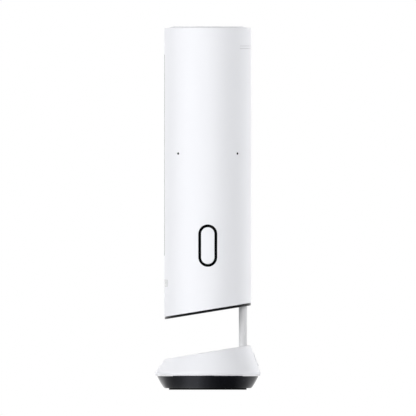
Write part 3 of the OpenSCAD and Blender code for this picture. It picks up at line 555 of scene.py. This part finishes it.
def underside_plate():
    r = HEAD_R - PLATE_INSET
    profile = [(p[0], p[1], 1.0) for p in rounded(
        [(0, HEAD_Z), (r, HEAD_Z), (r, HEAD_Z + PLATE_T - 0.05), (0, HEAD_Z + PLATE_T - 0.05)],
        [0, 0.08, 0, 0], steps=6)]
    plate = lathe("underside_plate", profile, segments=256, body="head", replaces=["bottom_plate"],
                  slot="black_gloss", material=PLATE_BLACK)
    tilt = (0, -math.sin(SLANT), math.cos(SLANT))
    def on_slant(x, y):
        return x, y * math.cos(SLANT), HEAD_Z + y * math.sin(SLANT)
    below, above = -2, 6                       # the cutters' ends, clear of the plate on both sides
    mast_way_r = MAST_R + MAST_CLEAR + GROMMET_T + 0.02
    ways = [rod("mast_way", (0, MAST_Y, HEAD_Z), (0, 0, 1), mast_way_r, -20, 30, 64)]
    for k in range(1, GRILLE_RINGS + 1):
        for i in range(6 * k):
            a = TAU * i / (6 * k) + math.radians(10 * k)
            d = k * (CONE_R + 1) / (GRILLE_RINGS + 0.6)
            x, y = d * math.cos(a), d * math.sin(a) - DRIVER_FWD
            ways.append(rod("grille_way", on_slant(x, y), tilt, GRILLE_R, below, above, 20))
    for x, y in SCREW_PLACES:
        ways.append(rod("sink_way", on_slant(x, y), tilt, SINK_R, below, SCREW_SINK, 28))
        ways.append(rod("screw_way", on_slant(x, y), tilt, SCREW_WAY_R, SCREW_SINK - 0.5, above, 24))
    cut(plate, merged("plate_ways", ways))
    return soften(plate)


SHELL_SCREW_R = INNER_R - 2.6
# On the slant: four screws into the column, then four into the speaker box's legs
SCREW_PLACES = [
    (SHELL_SCREW_R * math.cos(math.radians(a)),
     (SHELL_SCREW_R * math.sin(math.radians(a)) + 7 * math.sin(SLANT)) / math.cos(SLANT))
    for a in (-150, -30, 50, 130)
] + [(-26, -7), (26, -7), (-15.5, 13.3), (15.5, 13.3)]


def display_glass():
    out = HEAD_R + GLASS_PROUD
    layers = [(out - GLASS_T, 0.0), (out - 0.2, 0.0), (out - 0.08, 0.04), (out - 0.02, 0.11), (out, 0.24)]
    return soften(inlay("display_glass_pane", on_column(FRONT, DISPLAY_Z), DISPLAY_SHAPE, layers,
                        cap_steps=10, body="head", replaces=["cover_glass"], slot="display_glass",
                        material=GLASS))


def sensor_window():
    layers = [(INNER_R + 0.15, 0.0), (HEAD_R - 0.25, 0.0), (HEAD_R - 0.08, 0.06), (HEAD_R, 0.22)]
    return soften(inlay("light_window", on_column(FRONT, SENSOR_Z), SENSOR_SHAPE, layers, cap_steps=12,
                        body="head", replaces=["sensor_window"], slot="window_grey", material=WINDOW))


def key_bezel():
    lip, deep = 0.15, HEAD_R - 5.5
    profile = [(deep, 0.0), (HEAD_R - lip, 0.0), (HEAD_R - 0.04, 0.04), (HEAD_R, lip),
               (HEAD_R, BEZEL_W - lip), (HEAD_R - 0.04, BEZEL_W - 0.04), (HEAD_R - lip, BEZEL_W),
               (deep, BEZEL_W)]
    return soften(inlay_ring("key_surround", on_column(SIDE, KEY_Z), BEZEL_SHAPE, profile,
                             body="head", replaces=["key_bezel"], slot="black_matte", material=MATT_BLACK))


def side_key():
    layers = [(HEAD_R - KEY_T, 0.0), (HEAD_R - 0.3, 0.0), (HEAD_R - 0.14, 0.04), (HEAD_R - 0.04, 0.14),
              (HEAD_R, 0.35)]
    key = inlay("rocker_key", on_column(SIDE, KEY_Z), KEY_SHAPE, layers, cap_steps=14,
                body="side_key_body", replaces=["side_key"], slot="white_key", material=KEY_WHITE)
    key.data.materials.append(MATT_BLACK)      # the white ends just under the rounded edge
    for poly in key.data.polygons:
        if math.hypot(poly.center.x, poly.center.y) < (HEAD_R - KEY_WHITE_T) * MM:
            poly.material_index = 1
    return soften(key)


def mast():
    r, inner, edge = MAST_R, MAST_R - MAST_WALL, 0.3
    rings = [(r, z) for z in (60, 120)]        # they divide the tube's long faces
    profile = [(inner, MAST_LOW), (r, MAST_LOW), *rings, (r, MAST_TOP - edge),
               (r - edge, MAST_TOP), (inner, MAST_TOP)]
    return soften(lathe("mast_tube", profile, y=MAST_Y, segments=96, body="turntable", replaces=["mast"],
                        slot="mast_metal", material=MAST_METAL))


def grommet():
    inner, outer = MAST_R + MAST_CLEAR, MAST_R + MAST_CLEAR + GROMMET_T
    low, high = HEAD_Z + 0.05, HEAD_Z + PLATE_T + 1
    profile = [(inner, high, 1.0), (inner, low + 0.3, 1.0), (inner + 0.3, low, 1.0), (outer - 0.1, low, 1.0),
               (outer, low + 0.1, 1.0), (outer, high, 1.0)]
    return soften(lathe("mast_seal", profile, y=MAST_Y, segments=64, body="head", replaces=["mast_grommet"],
                        slot="black_matte", material=MATT_BLACK))


# ------------------------------------------------------------------ base and foot

def base_profile(angle):
    """Half section of the base at one angle, from the axis over the top and back inside to the axis."""
    top = BASE_TOP_Z + TOP_R * math.sin(angle) * RISE
    outer = rounded(
        [(0, BASE_TOP_Z), (TOP_R, top), (BASE_R - 0.02, SKIRT_Z1), (BASE_R - 0.02, SKIRT_Z0),
         (BASE_R - SKIRT_BEVEL, BASE_Z), (BASE_R - SKIRT_BEVEL - BASE_WALL, BASE_Z)],
        [0, 1.1, 1.6, 0.5, 0.25, 0], steps=6)
    inner_top = TOP_R - BASE_WALL
    inner = [(BASE_R - BASE_WALL - 0.6, SKIRT_Z1),
             (inner_top, BASE_TOP_Z - BASE_WALL + inner_top * math.sin(angle) * RISE),
             (0, BASE_TOP_Z - BASE_WALL)]
    return outer + inner


def base_housing():
    segments = 256
    columns = [base_profile(TAU * i / segments) for i in range(segments)]
    n = len(columns[0])
    rings = [[(columns[i][k][0] * math.cos(TAU * i / segments),
               columns[i][k][0] * math.sin(TAU * i / segments),
               columns[i][k][1]) for i in range(segments)] for k in range(1, n - 1)]
    verts, faces = loft(rings, caps=False)
    for ring, p in ((0, columns[0][0]), (len(rings) - 1, columns[0][-1])):
        close_on(verts, faces, ring * segments, segments, (0, 0, p[1]))
    obj = make("base_shell", verts, faces, body="turntable", replaces=["base_housing"], slot="white_shell",
               material=WHITE)
    port_way = inlay("port_way", on_base(PORT_Z), PORT_SHAPE, [(-6, -SEAM), (3, -SEAM)])
    mast_way = rod("mast_way", (0, MAST_Y, 0), (0, 0, 1), MAST_R + MAST_CLEAR, 30, 60, 64)
    cut(obj, port_way, mast_way)
    return soften(obj, angle=28)


PORT_SHAPE = outline(PORT_R, PORT_R, PORT_R, steps=16)


def port_bezel():
    """A round boss on the sloping side, with a flat for the plug's grip and the plug's opening."""
    layers = [(-3.5, 0.0), (PORT_PROUD - 0.3, 0.0), (PORT_PROUD - 0.1, 0.08), (PORT_PROUD, 0.3)]
    obj = inlay("port_boss", on_base(PORT_Z), PORT_SHAPE, layers, cap_steps=10, body="turntable",
                replaces=["port_bezel"], slot="white_shell", material=WHITE)
    inside, outside = 30, 60                   # the cutters' ends, clear of the boss on both sides
    well = rod("well_way", (0, 0, PORT_Z), (0, 1, 0), WELL_R, WELL_Y, outside, 64)
    plug = outline(USB_W / 2, USB_H / 2, USB_H / 2, side_steps=4)()
    plug_way = make("plug_way", *loft([[(u, y, PORT_Z + v) for u, v in plug] for y in (inside, outside)]))
    cut(obj, well, plug_way)
    return soften(obj)


def foot_ring():
    """A bowl with a hub. Its side widens upwards on a slight curve."""
    curve, steps, low_edge, top_edge = 0.8, 12, 0.6, 0.35
    height, width = FOOT_Z1 - FOOT_Z0, FOOT_R - FOOT_LOW_R
    side = [(FOOT_LOW_R + width * (k / steps) ** curve, FOOT_Z0 + height * k / steps)
            for k in range(steps + 1)]
    inside_z = FOOT_Z0 + FOOT_WALL
    points = [(CLIP_BORE_R, FOOT_Z0), *side, (FOOT_R - FOOT_WALL, FOOT_Z1),
              (FOOT_LOW_R - FOOT_WALL + 1.4, inside_z), (HUB_R, inside_z), (HUB_R, HUB_TOP),
              (SPINDLE_BORE_R, HUB_TOP), (SPINDLE_BORE_R, CLIP_BORE_TOP), (CLIP_BORE_R, CLIP_BORE_TOP)]
    radii = [0] * len(points)
    radii[1], radii[steps + 1] = low_edge, top_edge
    profile = rounded(points, radii)
    obj = lathe("foot_bowl", profile, segments=256, body="foot", replaces=["foot_ring"],
                slot="black_gloss", material=GLOSS_BLACK)
    ways = []
    screw_place = (HUB_R + PAD_R - PAD_W) / 2
    for k in range(4):
        a = TAU * (k + 0.5) / 4
        centre = (screw_place * math.cos(a), screw_place * math.sin(a), 0)
        ways.append(rod("sink_way", centre, (0, 0, 1), SINK_R, 0, FOOT_SINK, 28))
    cut(obj, merged("foot_ways", ways))
    return soften(obj)


def foot_pad():
    inner = PAD_R - PAD_W
    profile = rounded([(inner, FOOT_Z0), (inner, 0), (PAD_R, 0), (PAD_R, FOOT_Z0)], [0, 0.4, 0.4, 0])
    return soften(lathe("rubber_pad", profile, segments=192, body="foot", replaces=["foot_pad"],
                        slot="rubber_black", material=RUBBER))


# ------------------------------------------------------------------ stage

def soft_sun(name, azimuth, elevation, spread, power):
    """A broad lamp far away. It gives no glints: shiny parts show the white surroundings instead."""
    a, e = math.radians(azimuth), math.radians(elevation)
    data = bpy.data.lights.new(name, "SUN")
    data.energy, data.angle = power, math.radians(spread)
    obj = bpy.data.objects.new(name, data)
    bpy.context.scene.collection.objects.link(obj)
    obj.rotation_mode = "QUATERNION"
    obj.rotation_quaternion = Vector(
        (math.cos(a) * math.cos(e), math.sin(a) * math.cos(e), math.sin(e))).to_track_quat("Z", "Y")
    obj.visible_glossy = False
    return obj


def world():
    """The surroundings. They do not light matt parts, which have the lamps. The camera and clear surfaces
    see them white, and shiny ones see white with a dark corner to the right of the camera."""
    w = bpy.data.worlds.new("studio")
    bpy.context.scene.world = w
    w.use_nodes = True
    tree = w.node_tree
    tree.nodes.clear()
    node, link = tree.nodes.new, tree.links.new
    out, path = node("ShaderNodeOutputWorld"), node("ShaderNodeLightPath")
    shown, mirrored, unlit = (node("ShaderNodeBackground") for _ in range(3))
    for background in (shown, mirrored, unlit):
        background.inputs["Color"].default_value = (1, 1, 1, 1)
    unlit.inputs["Strength"].default_value = 0

    coords, toward, span = (node(f"ShaderNode{k}") for k in ("TexCoord", "VectorMath", "MapRange"))
    toward.operation = "DOT_PRODUCT"
    toward.inputs[1].default_value = (math.cos(DARK_AZIMUTH), math.sin(DARK_AZIMUTH), 0)
    span.interpolation_type = "SMOOTHSTEP"
    span.inputs["From Min"].default_value = math.cos(DARK_EDGES[0])
    span.inputs["From Max"].default_value = math.cos(DARK_EDGES[1])
    span.inputs["To Min"].default_value = 1
    span.inputs["To Max"].default_value = DARK_LEVEL
    link(coords.outputs["Generated"], toward.inputs[0])
    link(toward.outputs["Value"], span.inputs["Value"])
    link(span.outputs["Result"], mirrored.inputs["Color"])

    seen = node("ShaderNodeMath")
    seen.operation = "MAXIMUM"
    link(path.outputs["Is Camera Ray"], seen.inputs[0])
    link(path.outputs["Is Transmission Ray"], seen.inputs[1])
    glossy, straight = node("ShaderNodeMixShader"), node("ShaderNodeMixShader")
    link(path.outputs["Is Glossy Ray"], glossy.inputs["Fac"])
    link(unlit.outputs["Background"], glossy.inputs[1])
    link(mirrored.outputs["Background"], glossy.inputs[2])
    link(seen.outputs["Value"], straight.inputs["Fac"])
    link(glossy.outputs["Shader"], straight.inputs[1])
    link(shown.outputs["Background"], straight.inputs[2])
    link(straight.outputs["Shader"], out.inputs["Surface"])


def floor():
    """A pale table, shown a little lighter to the camera. Shiny parts see a painted glow in its place: white,
    with painted shade on some sides close to the object."""
    corners = [(x * TABLE_HALF, y * TABLE_HALF, 0) for x, y in ((-1, -1), (1, -1), (1, 1), (-1, 1))]
    obj = make("floor", corners, [(0, 1, 2, 3)])
    dark, pale, light = ((level, level, level) for level in (0.85, 0.86, 0.87))
    mat, tree, node = shader("floor_pale", pale, 0.7)
    noise = grain(tree, node, 40, strength=0.05, distance=0.0002)
    tint(tree, noise, node, dark, light)
    add, link = tree.nodes.new, tree.links.new
    coords, split, angle, turn = (
        add(f"ShaderNode{k}") for k in ("TexCoord", "SeparateXYZ", "Math", "MapRange"))
    angle.operation = "ARCTAN2"
    link(coords.outputs["Object"], split.inputs[0])
    link(split.outputs["Y"], angle.inputs[0])
    link(split.outputs["X"], angle.inputs[1])
    turn.inputs["From Min"].default_value, turn.inputs["From Max"].default_value = -math.pi, math.pi
    link(angle.outputs["Value"], turn.inputs["Value"])
    # Painted shade and painted light round the object, seen only in reflections
    ramp = add("ShaderNodeValToRGB")
    stops = ramp.color_ramp.elements
    while len(stops) > 1:
        stops.remove(stops[-1])
    for k, (azimuth, level) in enumerate(TABLE_PAINTED_LEVELS):
        stop = stops[0] if k == 0 else stops.new(0.5 + azimuth / 360)
        stop.position = 0.5 + azimuth / 360
        stop.color = (level, level, level, 1)
    link(turn.outputs["Result"], ramp.inputs["Fac"])
    reach, away, level = (add(f"ShaderNode{k}") for k in ("VectorMath", "MapRange", "Math"))
    reach.operation, away.interpolation_type, level.operation = "LENGTH", "SMOOTHSTEP", "MAXIMUM"
    away.inputs["From Min"].default_value, away.inputs["From Max"].default_value = TABLE_NEAR, TABLE_FAR
    away.inputs["To Max"].default_value = TABLE_AWAY_LEVEL
    link(coords.outputs["Object"], reach.inputs[0])
    link(reach.outputs["Value"], away.inputs["Value"])
    link(ramp.outputs["Color"], level.inputs[0])
    link(away.outputs["Result"], level.inputs[1])
    # Glossy rays see the painted glow; the others see the lit table
    path, painted_glow, mix, out = (
        add(f"ShaderNode{k}") for k in ("LightPath", "Emission", "MixShader", "OutputMaterial"))
    tree.nodes.remove(tree.nodes["Material Output"])
    link(level.outputs["Value"], painted_glow.inputs["Color"])
    link(path.outputs["Is Glossy Ray"], mix.inputs["Fac"])
    lift, plus, shown = (add(f"ShaderNode{k}") for k in ("Math", "AddShader", "Emission"))
    lift.operation = "MULTIPLY"
    lift.inputs[1].default_value = CAMERA_LIFT
    link(path.outputs["Is Camera Ray"], lift.inputs[0])
    link(lift.outputs["Value"], shown.inputs["Strength"])
    link(node.outputs["BSDF"], plus.inputs[0])
    link(shown.outputs["Emission"], plus.inputs[1])
    link(plus.outputs["Shader"], mix.inputs[1])
    link(painted_glow.outputs["Emission"], mix.inputs[2])
    link(mix.outputs["Shader"], out.inputs["Surface"])
    obj.data.materials.append(mat)
    obj.location.z = -TABLE_DROP * MM


def camera():
    """Level view from the side with parallel rays, framed as the photograph."""
    data = bpy.data.cameras.new("camera")
    data.type = "ORTHO"
    data.ortho_scale = PIXELS * PIXEL_MM * MM
    data.clip_end = 50
    cam = bpy.data.objects.new("camera", data)
    bpy.context.scene.collection.objects.link(cam)
    cam.location = (CAMERA_AWAY, CAMERA_SIDE, (GROUND_ROW - PIXELS / 2) * PIXEL_MM * MM)
    cam.rotation_euler = (math.pi / 2, 0, math.pi / 2)
    bpy.context.scene.camera = cam


def lights():
    for name, azimuth, elevation, spread, power in LAMPS:
        soft_sun(name, azimuth, elevation, spread, power)


camera()
dress_cad_nodes()
column_shell()
top_cap()
underside_plate()
display_glass()
sensor_window()
key_bezel()
side_key()
mast()
grommet()
base_housing()
port_bezel()
foot_ring()
foot_pad()
floor()
lights()
world()
bpy.context.scene.view_settings.view_transform = "Standard"
